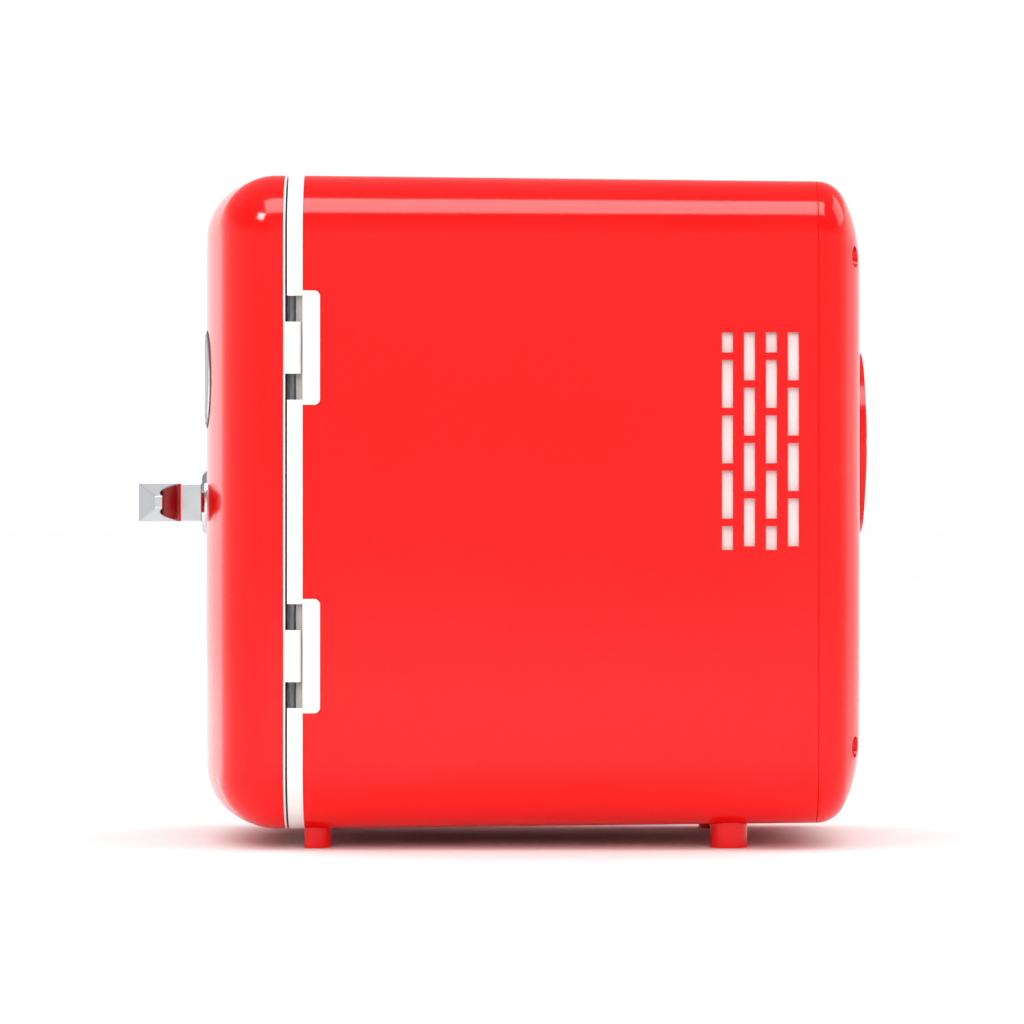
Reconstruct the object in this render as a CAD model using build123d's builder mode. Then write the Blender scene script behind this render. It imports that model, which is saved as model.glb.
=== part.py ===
from build123d import *
from math import cos, radians, sin, tan
import os

# A small retro thermoelectric cooler and warmer, in millimetres.
# X points to the hinge side, Y to the back, Z up. The origin is on the floor under the middle
# of the whole footprint, lever and fan guard included.

# Overall sizes
body_width = 190.0
body_height = 272.1
body_depth = 275.9  # door crown to back plane
foot_height = 7.8
lever_reach = 33.0  # lever's front in front of the door crown
guard_rise = 6.8  # fan guard's crown behind the back plane

# Outer shape
corner_radius = 27.0
draft = 0.64  # degrees, towards the back
wall = 2.5
seam_bevel = 0.35
cover_edge_radius = 13.6
cover_edge_turn = 60.0
cover_crown_radius = 52.0
cover_corner_taper = 0.45  # how much the corner radius shrinks per mm of inset

# Door
door_depth = 36.5
door_crown_radius = 300.0
door_edge_radius = 24.0
panel_rim = 0.8
panel_plug = 2.0
panel_wall = 1.5
pad_rise = 6.6
pad_clearance = 4.0
pad_edge = 2.0
door_gap = 0.8
foam_clearance = 0.3
gasket_inset = 7.0
gasket_width = 8.0
gasket_groove = 1.5
seal_gap = 0.2

# Cabinet
frame_depth = 6.4
cavity_width = 136.0
cavity_height = 200.0
cavity_depth = 142.0  # frame face to rear liner wall
cavity_radius = 12.0
liner_wall = 1.5
rear_insulation = 24.0

# Hinges
pivot_inset = 1.9
pivot_behind_panel = 2.8
pin_radius = 1.6
pin_clearance = 0.06
lug_radius = 4.0
lug_height = 21.4
lug_proud = 0.8
knuckle_gap = 10.7
pin_seat = 5.0
pocket_clearance = 0.5
leaf_height = 47.0
leaf_width = 7.2
leaf_sunk = 1.0
leaf_radius = 2.4
hinge_spacing = 126.9

# Handle and latch
handle_inset = 16.0  # latch spindle in from the cavity's side
post_width = 16.6
lever_root = 17.0
lever_length = 72.0
lever_tip = (3.3, 5.5)
lever_tip_back = 11.6  # tip's front face behind the root's front face
scoop_depth = 3.7  # how far the blade's back is hollowed out
scoop_fillet = 2.5
lever_edge = 0.8
post_edge = 0.6
escutcheon_radius = 14.0
escutcheon_front = 5.3  # its face in front of the door crown
escutcheon_chamfer = 1.5
spindle_radius = 4.0
spindle_clearance = 0.06
spindle_engaged = 9.0
spindle_past_nut = 1.0
bush_radius = 6.0
washer_radius = 7.0
turning_gap = 0.3
tongue_length = 24.0
tongue_width = 10.0
tongue_thickness = 2.5
strike_thickness = 1.0
strike_gap = 0.4
nut_height = 4.0
nut_width = 13.0

# Badge
badge_radius = 20.0
badge_x = 28.0
badge_above_middle = 52.1
badge_thickness = 0.8

# Side vents
vent_slot = (4.5, 19.7)
vent_pitch = (9.05, 22.8)
vent_field_height = 89.6
vent_columns = 4
vent_ahead_of_seam = 10.6
vent_rows = 5
vent_above_middle = 69.85
shortest_slot = 1.0
vent_screen_gap = 1.0
vent_screen_thickness = 1.2
vent_screen_margin = 4.0

# Cooling stack
stack_above_middle = 25.5
cold_plate_size = (100.0, 120.0, 3.0)
cold_plate_radius = 6.0
cold_rib = (4.0, 104.0, 1.0)
cold_rib_pitch = 10.0
cold_ribs = 9
thread_depth = 2.0
cold_block_width = 40.0
block_clearance = 1.0
block_proud = 1.0
module_thickness = 3.6
sink_width = 100.0
sink_base = 5.0
fin_height = 24.0
fin_thickness = 1.2
fin_count = 15
sink_screw_offset = 32.0
sink_screw_radius = 1.5
sink_screw_head = (3.0, 2.0)
fan_size = 80.0
fan_depth = 25.0
fan_mount_gap = 0.5
fan_tunnel_radius = 37.5
fan_hole_spacing = 71.5
fan_hub_radius = 16.0
fan_tip_gap = 1.5
fan_blades = 7
fan_blade_pitch = 35.0
fan_stator = 5.0
fan_strut = 4.0
fan_blade_thickness = 1.6
fan_blade_root = 2.0  # how deep the blades start inside the hub
rotor_clearance = (1.0, 1.5)  # in front of and behind the rotor
shaft_setback = 3.0
fan_shaft_radius = 1.5
fan_shaft_clearance = 0.05

# Fan guard
guard_radius = 38.6
guard_edge_rise = 4.4
guard_bar = 2.6
guard_rings = 4
guard_ring_pitch = 8.2
guard_spokes = 6
guard_clearance = 0.2
guard_hub_radius = 6.56

# Cover screws
screw_x_inset = 18.7
screw_z_offset = 101.7
recess_radius = 4.5
screw_radius = 1.5
screw_head = (3.3, 2.2)
screw_cross = (4.0, 0.8, 1.0)
screw_length = 22.0
boss_radius = 6.0
boss_floor = 3.0
post_radius = 4.0
post_length = 28.0
post_solid = 5.0  # blind end of the screw hole
rib_thickness = 2.4

# Feet
foot_radius = 7.7
foot_x = 67.0
front_foot_setback = 3.1
rear_foot_ahead_of_seam = 36.2
foot_rooted = 6.0
foot_trim = 1.5  # more of the front feet that the shell's front edge cuts off

# Electrics
board_size = (110.0, 66.0, 1.6)
board_above_floor = 62.0
standoff_radius = 3.0
standoff_length = 11.0
standoff_inset = 5.0
inlet_above_floor = 60.0
inlet_flange = 1.2
inlet_radius = 2.0
transformer = (-18.0, 6.0, 34.0, 28.0, 22.0, 3.0)  # x, z, width, height, depth, corner
cans = [(14.0, 12.0), (14.0, -8.0), (-40.0, -20.0)]
can_size = (6.0, 18.0)
regulators = [(36.0, 8.0), (36.0, -14.0)]
regulator_size = (14.0, 10.0, 9.0)
ac_x = -32.0
ac_body = (28.0, 18.0, 20.0)
ac_flange_margin = 3.0
ac_socket = (19.0, 9.0, 14.0)
ac_pin_spacing = 8.6
ac_pin = (1.2, 9.0)
dc_x = 32.0
dc_body = (7.0, 16.0)
dc_flange_margin = 2.0
dc_socket = (4.2, 12.0)
dc_pin = (1.05, 9.0)
switch_body = (17.0, 21.0, 13.0)
switch_flange_margin = 2.0
rocker_radius = 7.4
rocker_width = 11.0
rocker_clearance = 0.4
rocker_tilt = 10.0
rocker_axis_depth = 1.0
rocker_valley = 0.5  # the V's lowest line above the axis

# Shelf
shelf_below_middle = 12.0
shelf_thickness = 3.0
shelf_side_gap = 0.5
shelf_setback = 30.0
shelf_rear_gap = 6.0
shelf_slot = (32.0, 5.0)
shelf_slot_pitch = (13.0, 40.0)
shelf_slots = (9, 2)
rail = (3.0, 3.0)
rail_overhang = 2.0
slot_clearance = 1.5

# Levels and planes that follow
body_middle = foot_height + body_height / 2
front_y = lever_reach - (body_depth + lever_reach + guard_rise) / 2
back_y = front_y + body_depth
door_back = front_y + door_depth
panel_back = door_back + panel_rim
frame_front = panel_back + door_gap
frame_back = frame_front + frame_depth
cavity_back = frame_front + cavity_depth
liner_back = cavity_back + liner_wall
foam_back = liner_back + rear_insulation
cover_rise = cover_edge_radius * sin(radians(cover_edge_turn)) + cover_crown_radius * (
    1 - sin(radians(cover_edge_turn))
)
seam_y = back_y - cover_rise
shell_length = seam_y - frame_back
seam_inset = shell_length * tan(radians(draft))
half_width = body_width / 2
handle_x = handle_inset - cavity_width / 2
pivot_x = half_width - pivot_inset
pivot_y = panel_back + pivot_behind_panel
pocket_height = lug_height + 2 * knuckle_gap
stack_z = body_middle + stack_above_middle
module_y = foam_back + block_proud
sink_y = module_y + module_thickness
fins_y = sink_y + sink_base
fan_y = fins_y + fin_height + fan_mount_gap
fan_back = fan_y + fan_depth
screw_x = half_width - screw_x_inset
cover_inside = back_y - wall
lever_front = front_y - lever_reach
escutcheon_y = front_y - escutcheon_front
post_end = escutcheon_y - turning_gap
spindle_front = post_end - spindle_engaged
pad_back = panel_back + pad_rise
tongue_front = frame_back + strike_thickness + strike_gap
tongue_back = tongue_front + tongue_thickness
hinge_levels = [body_middle - hinge_spacing / 2, body_middle + hinge_spacing / 2]

os.makedirs("parts", exist_ok=True)


def facing_front(y, x=0.0, z=body_middle):
    """A plane at y that faces the front, with X to the right and Z up."""
    return Plane(origin=(x, y, z), x_dir=(1, 0, 0), z_dir=(0, -1, 0))


def facing_back(y, x=0.0, z=body_middle):
    """A plane at y that faces the back, with Z up."""
    return Plane(origin=(x, y, z), x_dir=(-1, 0, 0), z_dir=(0, 1, 0))


def write(part, name):
    """Label a finished piece and save it under its name."""
    part.label = name
    export_step(part, f"parts/{name}.step")


def rod(y_start, y_end, radius, x, z):
    """A plain round bar along Y, for holes and pins."""
    with BuildPart(mode=Mode.PRIVATE) as bar:
        with BuildSketch(facing_back(y_start, x, z)):
            Circle(radius)
        extrude(amount=y_end - y_start)
    return bar.part


def block(low, high):
    """A plain box between two corners, for pockets and clearances."""
    size = [b - a for a, b in zip(low, high)]
    middle = [(a + b) / 2 for a, b in zip(low, high)]
    with BuildPart(mode=Mode.PRIVATE) as cuboid:
        with Locations(tuple(middle)):
            Box(*size)
    return cuboid.part


def tapered_body(inset, y_end):
    """The cabinet's drafted outer form, moved in by inset, from the frame back to y_end."""
    with BuildPart(mode=Mode.PRIVATE) as form:
        with BuildSketch(facing_back(frame_back)):
            RectangleRounded(
                body_width - 2 * inset, body_height - 2 * inset, corner_radius - inset
            )
        extrude(amount=y_end - frame_back, taper=draft)
    return form.part


def crowned_door(inset):
    """The door's outer form moved in by inset: crowned about a vertical axis, all edges rounded."""
    with BuildPart(mode=Mode.PRIVATE) as form:
        with BuildSketch(facing_front(door_back)):
            RectangleRounded(
                body_width - 2 * inset, body_height - 2 * inset, corner_radius - inset
            )
        extrude(amount=door_depth - inset)
        with BuildSketch(Plane.XY):
            with Locations((0, front_y + door_crown_radius)):
                Circle(door_crown_radius - inset)
        extrude(amount=2 * body_height, mode=Mode.INTERSECT)
        fillet(form.faces().sort_by(Axis.Y)[0].edges(), door_edge_radius - inset)
    return form.part


def cover_section(skin, turn):
    """How far in and back the cover's profile has come where it has turned by turn degrees."""
    edge_end = radians(cover_edge_turn)
    t = radians(turn)
    if turn <= cover_edge_turn:
        inset = cover_edge_radius * (1 - cos(t))
        rise = cover_edge_radius * sin(t)
    else:
        inset = cover_edge_radius * (1 - cos(edge_end)) + cover_crown_radius * (cos(edge_end) - cos(t))
        rise = cover_edge_radius * sin(edge_end) + cover_crown_radius * (sin(t) - sin(edge_end))
    corner = corner_radius - seam_inset - cover_corner_taper * inset - skin * cos(t)
    return seam_inset + inset + skin * cos(t), rise - skin * sin(t), corner


def cover_band(skin, turns):
    """One stretch of the rear cover's form, lofted through its sections."""
    with BuildPart(mode=Mode.PRIVATE) as band:
        for turn in turns:
            inset, rise, corner = cover_section(skin, turn)
            with BuildSketch(facing_back(seam_y + rise)):
                RectangleRounded(body_width - 2 * inset, body_height - 2 * inset, corner)
        loft()
    return band.part


def domed_cover(skin):
    """The rear cover's form moved in by skin: a small edge arc that runs into a wide crown arc."""
    with BuildPart(mode=Mode.PRIVATE) as form:
        add(cover_band(skin, [cover_edge_turn * i / 4 for i in range(5)]))
        crown_turn = 90 - cover_edge_turn
        add(cover_band(skin, [cover_edge_turn + crown_turn * i / 3 for i in range(4)]))
    return form.part


def ring_plate(y_start, y_end, outer_inset, width):
    """A flat band that follows the body's outline."""
    with BuildPart(mode=Mode.PRIVATE) as band:
        with BuildSketch(facing_back(y_start)):
            RectangleRounded(
                body_width - 2 * outer_inset,
                body_height - 2 * outer_inset,
                corner_radius - outer_inset,
            )
            inner = outer_inset + width
            RectangleRounded(
                body_width - 2 * inner,
                body_height - 2 * inner,
                corner_radius - inner,
                mode=Mode.SUBTRACT,
            )
        extrude(amount=y_end - y_start)
    return band.part


body_outer = tapered_body(0, seam_y)
door_outer = crowned_door(0)
screw_places = [
    (side * screw_x, body_middle + level * screw_z_offset) for side in (-1, 1) for level in (-1, 1)
]
foot_places = [
    (side * foot_x, y)
    for side in (-1, 1)
    for y in (
        frame_back - front_foot_setback - foot_trim + foot_radius,
        seam_y - rear_foot_ahead_of_seam,
    )
]

# Cabinet shell: a drafted tube with side vents and posts for the cover screws
vent_top = body_middle + vent_above_middle
vent_first = seam_y - vent_ahead_of_seam - (vent_columns - 0.5) * vent_pitch[0] + vent_slot[0]
with BuildPart() as cabinet_shell:
    add(body_outer)
    chamfer(cabinet_shell.faces().sort_by(Axis.Y)[-1].edges(), seam_bevel)
    add(tapered_body(wall, seam_y), mode=Mode.SUBTRACT)
    with BuildSketch(Plane.YZ):
        for column in range(vent_columns):
            lift = 0 if column % 2 else vent_pitch[1] / 2
            for row in range(vent_rows):
                top = vent_top + lift - row * vent_pitch[1]
                bottom = max(top - vent_slot[1], vent_top - vent_field_height)
                top = min(top, vent_top)
                if top - bottom > shortest_slot:
                    with Locations((vent_first + column * vent_pitch[0], (top + bottom) / 2)):
                        Rectangle(vent_slot[0], top - bottom)
    extrude(amount=body_width, both=True, mode=Mode.SUBTRACT)
    for x, z in screw_places:
        side = 1 if x > 0 else -1
        add(rod(seam_y - post_length, seam_y + 1, post_radius, x, z))
        reach = side * (half_width - seam_inset - wall / 2)
        add(
            block(
                (min(x, reach), seam_y - post_length, z - rib_thickness / 2),
                (max(x, reach), seam_y - 1, z + rib_thickness / 2),
            )
        )
        hole = rod(seam_y - post_length + post_solid, seam_y + 1, screw_radius, x, z)
        add(hole, mode=Mode.SUBTRACT)
    for level in hinge_levels:
        add(
            block(
                (half_width - leaf_sunk, frame_back, level - leaf_height / 2),
                (half_width + 1, frame_back + leaf_width, level + leaf_height / 2),
            ),
            mode=Mode.SUBTRACT,
        )
write(cabinet_shell.part, "cabinet_shell")

# Feet: plain round stubs that run up to the rounded lower edge of the shell
with BuildPart() as feet:
    with BuildSketch(Plane.XY):
        with Locations(*foot_places):
            Circle(foot_radius)
    extrude(amount=foot_height + foot_rooted)
    add(block((-body_width, front_y, -1), (body_width, frame_back, body_height)), mode=Mode.SUBTRACT)
    add(body_outer, mode=Mode.SUBTRACT)
write(feet.part, "feet")

# Rear cover: domed shell with a fan opening, screw recesses and openings for the electrics
cover_solid = domed_cover(0)
with BuildPart() as rear_cover:
    add(cover_solid)
    add(domed_cover(wall), mode=Mode.SUBTRACT)
    for x, z in screw_places:
        add(rod(seam_y + 1, back_y, boss_radius, x, z) & cover_solid)
        add(rod(seam_y + 1 + boss_floor, back_y + 1, recess_radius, x, z), mode=Mode.SUBTRACT)
        add(rod(seam_y, back_y, screw_radius, x, z), mode=Mode.SUBTRACT)
    opening = rod(cover_inside - 1, back_y + 1, guard_radius + guard_clearance, 0, stack_z)
    add(opening, mode=Mode.SUBTRACT)
    with BuildSketch(facing_back(cover_inside - 1, 0, inlet_above_floor)):
        with Locations((-ac_x, 0)):
            RectangleRounded(ac_body[0], ac_body[1], inlet_radius)
        with Locations((-dc_x, 0)):
            Circle(dc_body[0])
        Rectangle(switch_body[0], switch_body[1])
    extrude(amount=wall + 2, mode=Mode.SUBTRACT)
write(rear_cover.part, "rear_cover")

# Cover screws: four pan-head screws in the recesses
with BuildPart() as cover_screws:
    for x, z in screw_places:
        under_head = seam_y + 1 + boss_floor
        add(rod(under_head - screw_length, under_head, screw_radius, x, z))
        with BuildSketch(facing_back(under_head, x, z)):
            Circle(screw_head[0])
        extrude(amount=screw_head[1])
        with BuildSketch(facing_back(under_head + screw_head[1], x, z)):
            Rectangle(screw_cross[0], screw_cross[1])
            Rectangle(screw_cross[1], screw_cross[0])
        extrude(amount=-screw_cross[2], mode=Mode.SUBTRACT)
write(cover_screws.part, "cover_screws")

# Fan guard: a domed grid of rings and spokes inside a round collar
dome_drop = guard_rise - guard_edge_rise
dome_span = guard_radius - guard_bar
dome_radius = (dome_span**2 + dome_drop**2) / (2 * dome_drop)
dome_axis = Axis((0, 0, stack_z), (0, 1, 0))


def dome_rise(radius):
    return guard_rise - dome_radius + (dome_radius**2 - radius**2) ** 0.5


with BuildPart() as fan_guard:
    with BuildSketch(Plane(origin=(0, back_y, stack_z), x_dir=(1, 0, 0), z_dir=(0, 0, 1))):
        with BuildLine():
            outer = ThreePointArc(
                (0, guard_rise), (dome_span / 2, dome_rise(dome_span / 2)), (dome_span, guard_edge_rise)
            )
            Line(outer @ 1, (dome_span, guard_edge_rise - guard_bar))
            inner = ThreePointArc(
                (dome_span, guard_edge_rise - guard_bar),
                (dome_span / 2, dome_rise(dome_span / 2) - guard_bar),
                (0, guard_rise - guard_bar),
            )
            Line(inner @ 1, outer @ 0)
        make_face()
    revolve(axis=dome_axis)
    with BuildSketch(facing_back(back_y, 0, stack_z)):
        for ring in range(1, guard_rings):
            middle = guard_radius - ring * guard_ring_pitch
            Circle(middle + guard_bar / 2)
            Circle(middle - guard_bar / 2, mode=Mode.SUBTRACT)
        with PolarLocations(0, guard_spokes):
            Rectangle(dome_span + 1, guard_bar, align=(Align.MIN, Align.CENTER))
        Circle(guard_hub_radius)
    extrude(amount=guard_rise + 1, mode=Mode.INTERSECT)
    with BuildSketch(facing_back(cover_inside, 0, stack_z)):
        Circle(guard_radius)
        Circle(guard_radius - guard_bar, mode=Mode.SUBTRACT)
    extrude(amount=wall + guard_edge_rise)
write(fan_guard.part, "fan_guard")

# Front frame: the flat white surround with hinge pockets, pin seats and a steel band's groove
with BuildPart() as front_frame:
    with BuildSketch(facing_back(frame_front)):
        RectangleRounded(body_width, body_height, corner_radius)
        RectangleRounded(cavity_width, cavity_height, cavity_radius, mode=Mode.SUBTRACT)
    extrude(amount=frame_depth)
    add(
        ring_plate(frame_back - strike_thickness, frame_back, gasket_inset, gasket_width),
        mode=Mode.SUBTRACT,
    )
    for level in hinge_levels:
        half = pocket_height / 2
        add(
            block(
                (pivot_x - lug_radius - pocket_clearance, frame_front - 1, level - half),
                (body_width, frame_back + 1, level + half),
            ),
            mode=Mode.SUBTRACT,
        )
        with BuildSketch(Plane.XY.offset(level - half - pin_seat)):
            with Locations((pivot_x, pivot_y)):
                Circle(pin_radius)
        extrude(amount=pocket_height + 2 * pin_seat, mode=Mode.SUBTRACT)
write(front_frame.part, "front_frame")

# Steel band behind the frame, which the magnetic door seal pulls on
with BuildPart() as seal_band:
    add(ring_plate(frame_back - strike_thickness, frame_back, gasket_inset, gasket_width))
write(seal_band.part, "seal_band")

# Hinge leaves: white plates let into the shell's side behind each hinge
with BuildPart() as hinge_leaves:
    for level in hinge_levels:
        with BuildSketch(Plane.YZ.offset(half_width - leaf_sunk)):
            with Locations((frame_back + leaf_width / 2, level)):
                Rectangle(leaf_width, leaf_height)
        extrude(amount=leaf_sunk + lug_proud)
    rear_corners = hinge_leaves.edges().filter_by(Axis.X).group_by(Axis.Y)[-1]
    fillet(rear_corners, leaf_radius)
write(hinge_leaves.part, "hinge_leaves")

# Hinge pins: steel, seated in the frame above and below each pocket
with BuildPart() as hinge_pins:
    for level in hinge_levels:
        with BuildSketch(Plane.XY.offset(level - pocket_height / 2 - pin_seat)):
            with Locations((pivot_x, pivot_y)):
                Circle(pin_radius)
        extrude(amount=pocket_height + 2 * pin_seat)
write(hinge_pins.part, "hinge_pins")

# Liner: the white inner box with a slot for the latch tongue and openings in its rear wall
tongue_sweep = (tongue_length**2 + (tongue_width / 2) ** 2) ** 0.5
liner_half = cavity_width / 2
slot_drop = (tongue_sweep**2 - (liner_half + handle_x) ** 2) ** 0.5
slot_low = (frame_back, body_middle - slot_drop - slot_clearance)
slot_high = (tongue_back + slot_clearance, body_middle + tongue_width / 2 + slot_clearance)
shelf_z = body_middle - shelf_below_middle
block_half = cold_block_width / 2
with BuildPart() as liner:
    with BuildSketch(facing_back(frame_back)):
        RectangleRounded(
            cavity_width + 2 * liner_wall, cavity_height + 2 * liner_wall, cavity_radius + liner_wall
        )
    extrude(amount=liner_back - frame_back)
    with BuildSketch(facing_back(frame_back)):
        RectangleRounded(cavity_width, cavity_height, cavity_radius)
    extrude(amount=cavity_back - frame_back, mode=Mode.SUBTRACT)
    add(
        block(
            (-liner_half - liner_wall - 1, slot_low[0], slot_low[1]),
            (-liner_half + 1, slot_high[0], slot_high[1]),
        ),
        mode=Mode.SUBTRACT,
    )
    add(
        block(
            (-block_half, cavity_back - 1, stack_z - block_half),
            (block_half, liner_back + 1, stack_z + block_half),
        ),
        mode=Mode.SUBTRACT,
    )
    for side in (-1, 1):
        hole = rod(cavity_back - 1, liner_back + 1, sink_screw_radius, side * sink_screw_offset, stack_z)
        add(hole, mode=Mode.SUBTRACT)
write(liner.part, "liner")

# Insulation: one foam block between liner and shell
tongue_pocket = -(abs(handle_x) + tongue_sweep + 2)
with BuildPart() as insulation:
    add(tapered_body(wall + foam_clearance, foam_back))
    with BuildSketch(facing_back(frame_back)):
        RectangleRounded(
            cavity_width + 2 * liner_wall, cavity_height + 2 * liner_wall, cavity_radius + liner_wall
        )
    extrude(amount=liner_back - frame_back, mode=Mode.SUBTRACT)
    add(
        block((tongue_pocket, slot_low[0], slot_low[1]), (-liner_half, slot_high[0], slot_high[1])),
        mode=Mode.SUBTRACT,
    )
    opening = block_half + block_clearance
    add(
        block((-opening, liner_back - 1, stack_z - opening), (opening, foam_back + 1, stack_z + opening)),
        mode=Mode.SUBTRACT,
    )
    for side in (-1, 1):
        hole = rod(liner_back - 1, foam_back + 1, sink_screw_radius, side * sink_screw_offset, stack_z)
        add(hole, mode=Mode.SUBTRACT)
write(insulation.part, "insulation")

# Strike plate: the steel tab that the latch tongue turns behind
with BuildPart() as strike_plate:
    add(
        block(
            (tongue_pocket + 1, frame_back, slot_low[1] + 1),
            (-liner_half, frame_back + strike_thickness, slot_high[1] - 1),
        )
    )
write(strike_plate.part, "strike_plate")

# Shelf rails: plain bars along the liner's side walls
shelf_front = frame_front + shelf_setback
shelf_back = cavity_back - shelf_rear_gap
with BuildPart() as shelf_rails:
    for side in (-1, 1):
        wall_x = side * liner_half
        tip_x = side * (liner_half - rail[0])
        add(
            block(
                (min(wall_x, tip_x), shelf_front, shelf_z - rail[1]),
                (max(wall_x, tip_x), shelf_back + rail_overhang, shelf_z),
            )
        )
write(shelf_rails.part, "shelf_rails")

# Shelf: a slotted plate with a turned-up front edge, resting on the rails
shelf_width = cavity_width - 2 * shelf_side_gap
with BuildPart() as shelf:
    add(
        block(
            (-shelf_width / 2, shelf_front, shelf_z),
            (shelf_width / 2, shelf_back, shelf_z + shelf_thickness),
        )
    )
    add(
        block(
            (-shelf_width / 2, shelf_front, shelf_z),
            (shelf_width / 2, shelf_front + shelf_thickness, shelf_z + 3 * shelf_thickness),
        )
    )
    with BuildSketch(Plane.XY.offset(shelf_z - 1)):
        with Locations((0, (shelf_front + shelf_back) / 2)):
            with GridLocations(*shelf_slot_pitch, *shelf_slots):
                SlotOverall(*shelf_slot, rotation=90)
    extrude(amount=shelf_thickness + 2, mode=Mode.SUBTRACT)
write(shelf.part, "shelf")

# Cold plate on the rear liner wall, with its block through the foam, the module and the heat sink
with BuildPart() as cold_plate:
    with BuildSketch(facing_front(cavity_back, 0, stack_z)):
        RectangleRounded(cold_plate_size[0], cold_plate_size[1], cold_plate_radius)
    extrude(amount=cold_plate_size[2])
    with BuildSketch(facing_front(cavity_back - cold_plate_size[2], 0, stack_z)):
        with GridLocations(cold_rib_pitch, 1, cold_ribs, 1):
            SlotOverall(cold_rib[1], cold_rib[0], rotation=90)
    extrude(amount=cold_rib[2])
    for side in (-1, 1):
        x = side * sink_screw_offset
        thread = rod(cavity_back - thread_depth, cavity_back + 1, sink_screw_radius, x, stack_z)
        add(thread, mode=Mode.SUBTRACT)
write(cold_plate.part, "cold_plate")

with BuildPart() as cold_block:
    with BuildSketch(facing_back(cavity_back, 0, stack_z)):
        Rectangle(cold_block_width, cold_block_width)
    extrude(amount=module_y - cavity_back)
write(cold_block.part, "cold_block")

with BuildPart() as cooling_module:
    with BuildSketch(facing_back(module_y, 0, stack_z)):
        Rectangle(cold_block_width, cold_block_width)
    extrude(amount=module_thickness)
write(cooling_module.part, "cooling_module")

fan_screw_places = [
    (x * fan_hole_spacing / 2, stack_z + z * fan_hole_spacing / 2) for x in (-1, 1) for z in (-1, 1)
]
with BuildPart() as heat_sink:
    with BuildSketch(facing_back(sink_y, 0, stack_z)):
        Rectangle(sink_width, sink_width)
    extrude(amount=sink_base)
    with BuildSketch(facing_back(fins_y, 0, stack_z)):
        with GridLocations(1, (sink_width - fin_thickness) / (fin_count - 1), 1, fin_count):
            Rectangle(sink_width, fin_thickness)
    extrude(amount=fin_height)
    for x, z in fan_screw_places:
        add(rod(sink_y + thread_depth, fan_y, sink_screw_radius, x, z), mode=Mode.SUBTRACT)
    for side in (-1, 1):
        x = side * sink_screw_offset
        add(rod(sink_y - 1, fins_y + 1, sink_screw_radius, x, stack_z), mode=Mode.SUBTRACT)
        add(rod(fins_y, fan_y, sink_screw_head[0] + 0.5, x, stack_z), mode=Mode.SUBTRACT)
write(heat_sink.part, "heat_sink")

with BuildPart() as sink_screws:
    for side in (-1, 1):
        x = side * sink_screw_offset
        add(rod(cavity_back - thread_depth, fins_y, sink_screw_radius, x, stack_z))
        add(rod(fins_y, fins_y + sink_screw_head[1], sink_screw_head[0], x, stack_z))
write(sink_screws.part, "sink_screws")

# Cooling fan: square frame with a stator on four struts, shaft, and bladed rotor
with BuildPart() as fan_frame:
    with BuildSketch(facing_back(fan_y, 0, stack_z)):
        RectangleRounded(fan_size, fan_size, 4)
        Circle(fan_tunnel_radius, mode=Mode.SUBTRACT)
        with Locations(*[(x, z - stack_z) for x, z in fan_screw_places]):
            Circle(sink_screw_radius, mode=Mode.SUBTRACT)
    extrude(amount=fan_depth)
    with BuildSketch(facing_back(fan_y, 0, stack_z)):
        Circle(fan_hub_radius)
        with PolarLocations(0, 4, start_angle=45):
            Rectangle(fan_tunnel_radius + 1, fan_strut, align=(Align.MIN, Align.CENTER))
        Circle(fan_shaft_radius, mode=Mode.SUBTRACT)
    extrude(amount=fan_stator)
write(fan_frame.part, "fan_frame")

with BuildPart() as fan_shaft:
    add(rod(fan_y, fan_back - shaft_setback, fan_shaft_radius, 0, stack_z))
write(fan_shaft.part, "fan_shaft")

with BuildPart() as fan_screws:
    for x, z in fan_screw_places:
        add(rod(sink_y + thread_depth, fan_back, sink_screw_radius, x, z))
        add(rod(fan_back, fan_back + sink_screw_head[1], sink_screw_head[0], x, z))
write(fan_screws.part, "fan_screws")

rotor_front = fan_y + fan_stator + rotor_clearance[0]
rotor_back = fan_back - rotor_clearance[1]
blade_depth = rotor_back - rotor_front - fan_blade_root
blade_start = fan_hub_radius - fan_blade_root
blade_length = fan_tunnel_radius - fan_tip_gap
with BuildPart() as fan_rotor:
    with BuildSketch(facing_back(rotor_front, 0, stack_z)):
        Circle(fan_hub_radius)
    extrude(amount=rotor_back - rotor_front)
    for turn in range(fan_blades):
        around = radians(360 / fan_blades * turn)
        pitch = radians(fan_blade_pitch)
        spot = Plane(
            origin=(0, (rotor_front + rotor_back) / 2, stack_z),
            x_dir=(cos(around), 0, sin(around)),
            z_dir=(-sin(around) * sin(pitch), cos(pitch), cos(around) * sin(pitch)),
        )
        with BuildSketch(spot.offset(-blade_depth / 2)):
            with Locations((blade_start, 0)):
                Rectangle(
                    blade_length - blade_start, fan_blade_thickness, align=(Align.MIN, Align.CENTER)
                )
        extrude(amount=blade_depth)
    add(rod(rotor_front - 1, rotor_back + 1, blade_length, 0, stack_z), mode=Mode.INTERSECT)
    bore_radius = fan_shaft_radius + fan_shaft_clearance
    bore = rod(rotor_front - 1, fan_back - shaft_setback, bore_radius, 0, stack_z)
    add(bore, mode=Mode.SUBTRACT)
write(fan_rotor.part, "fan_rotor")

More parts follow.
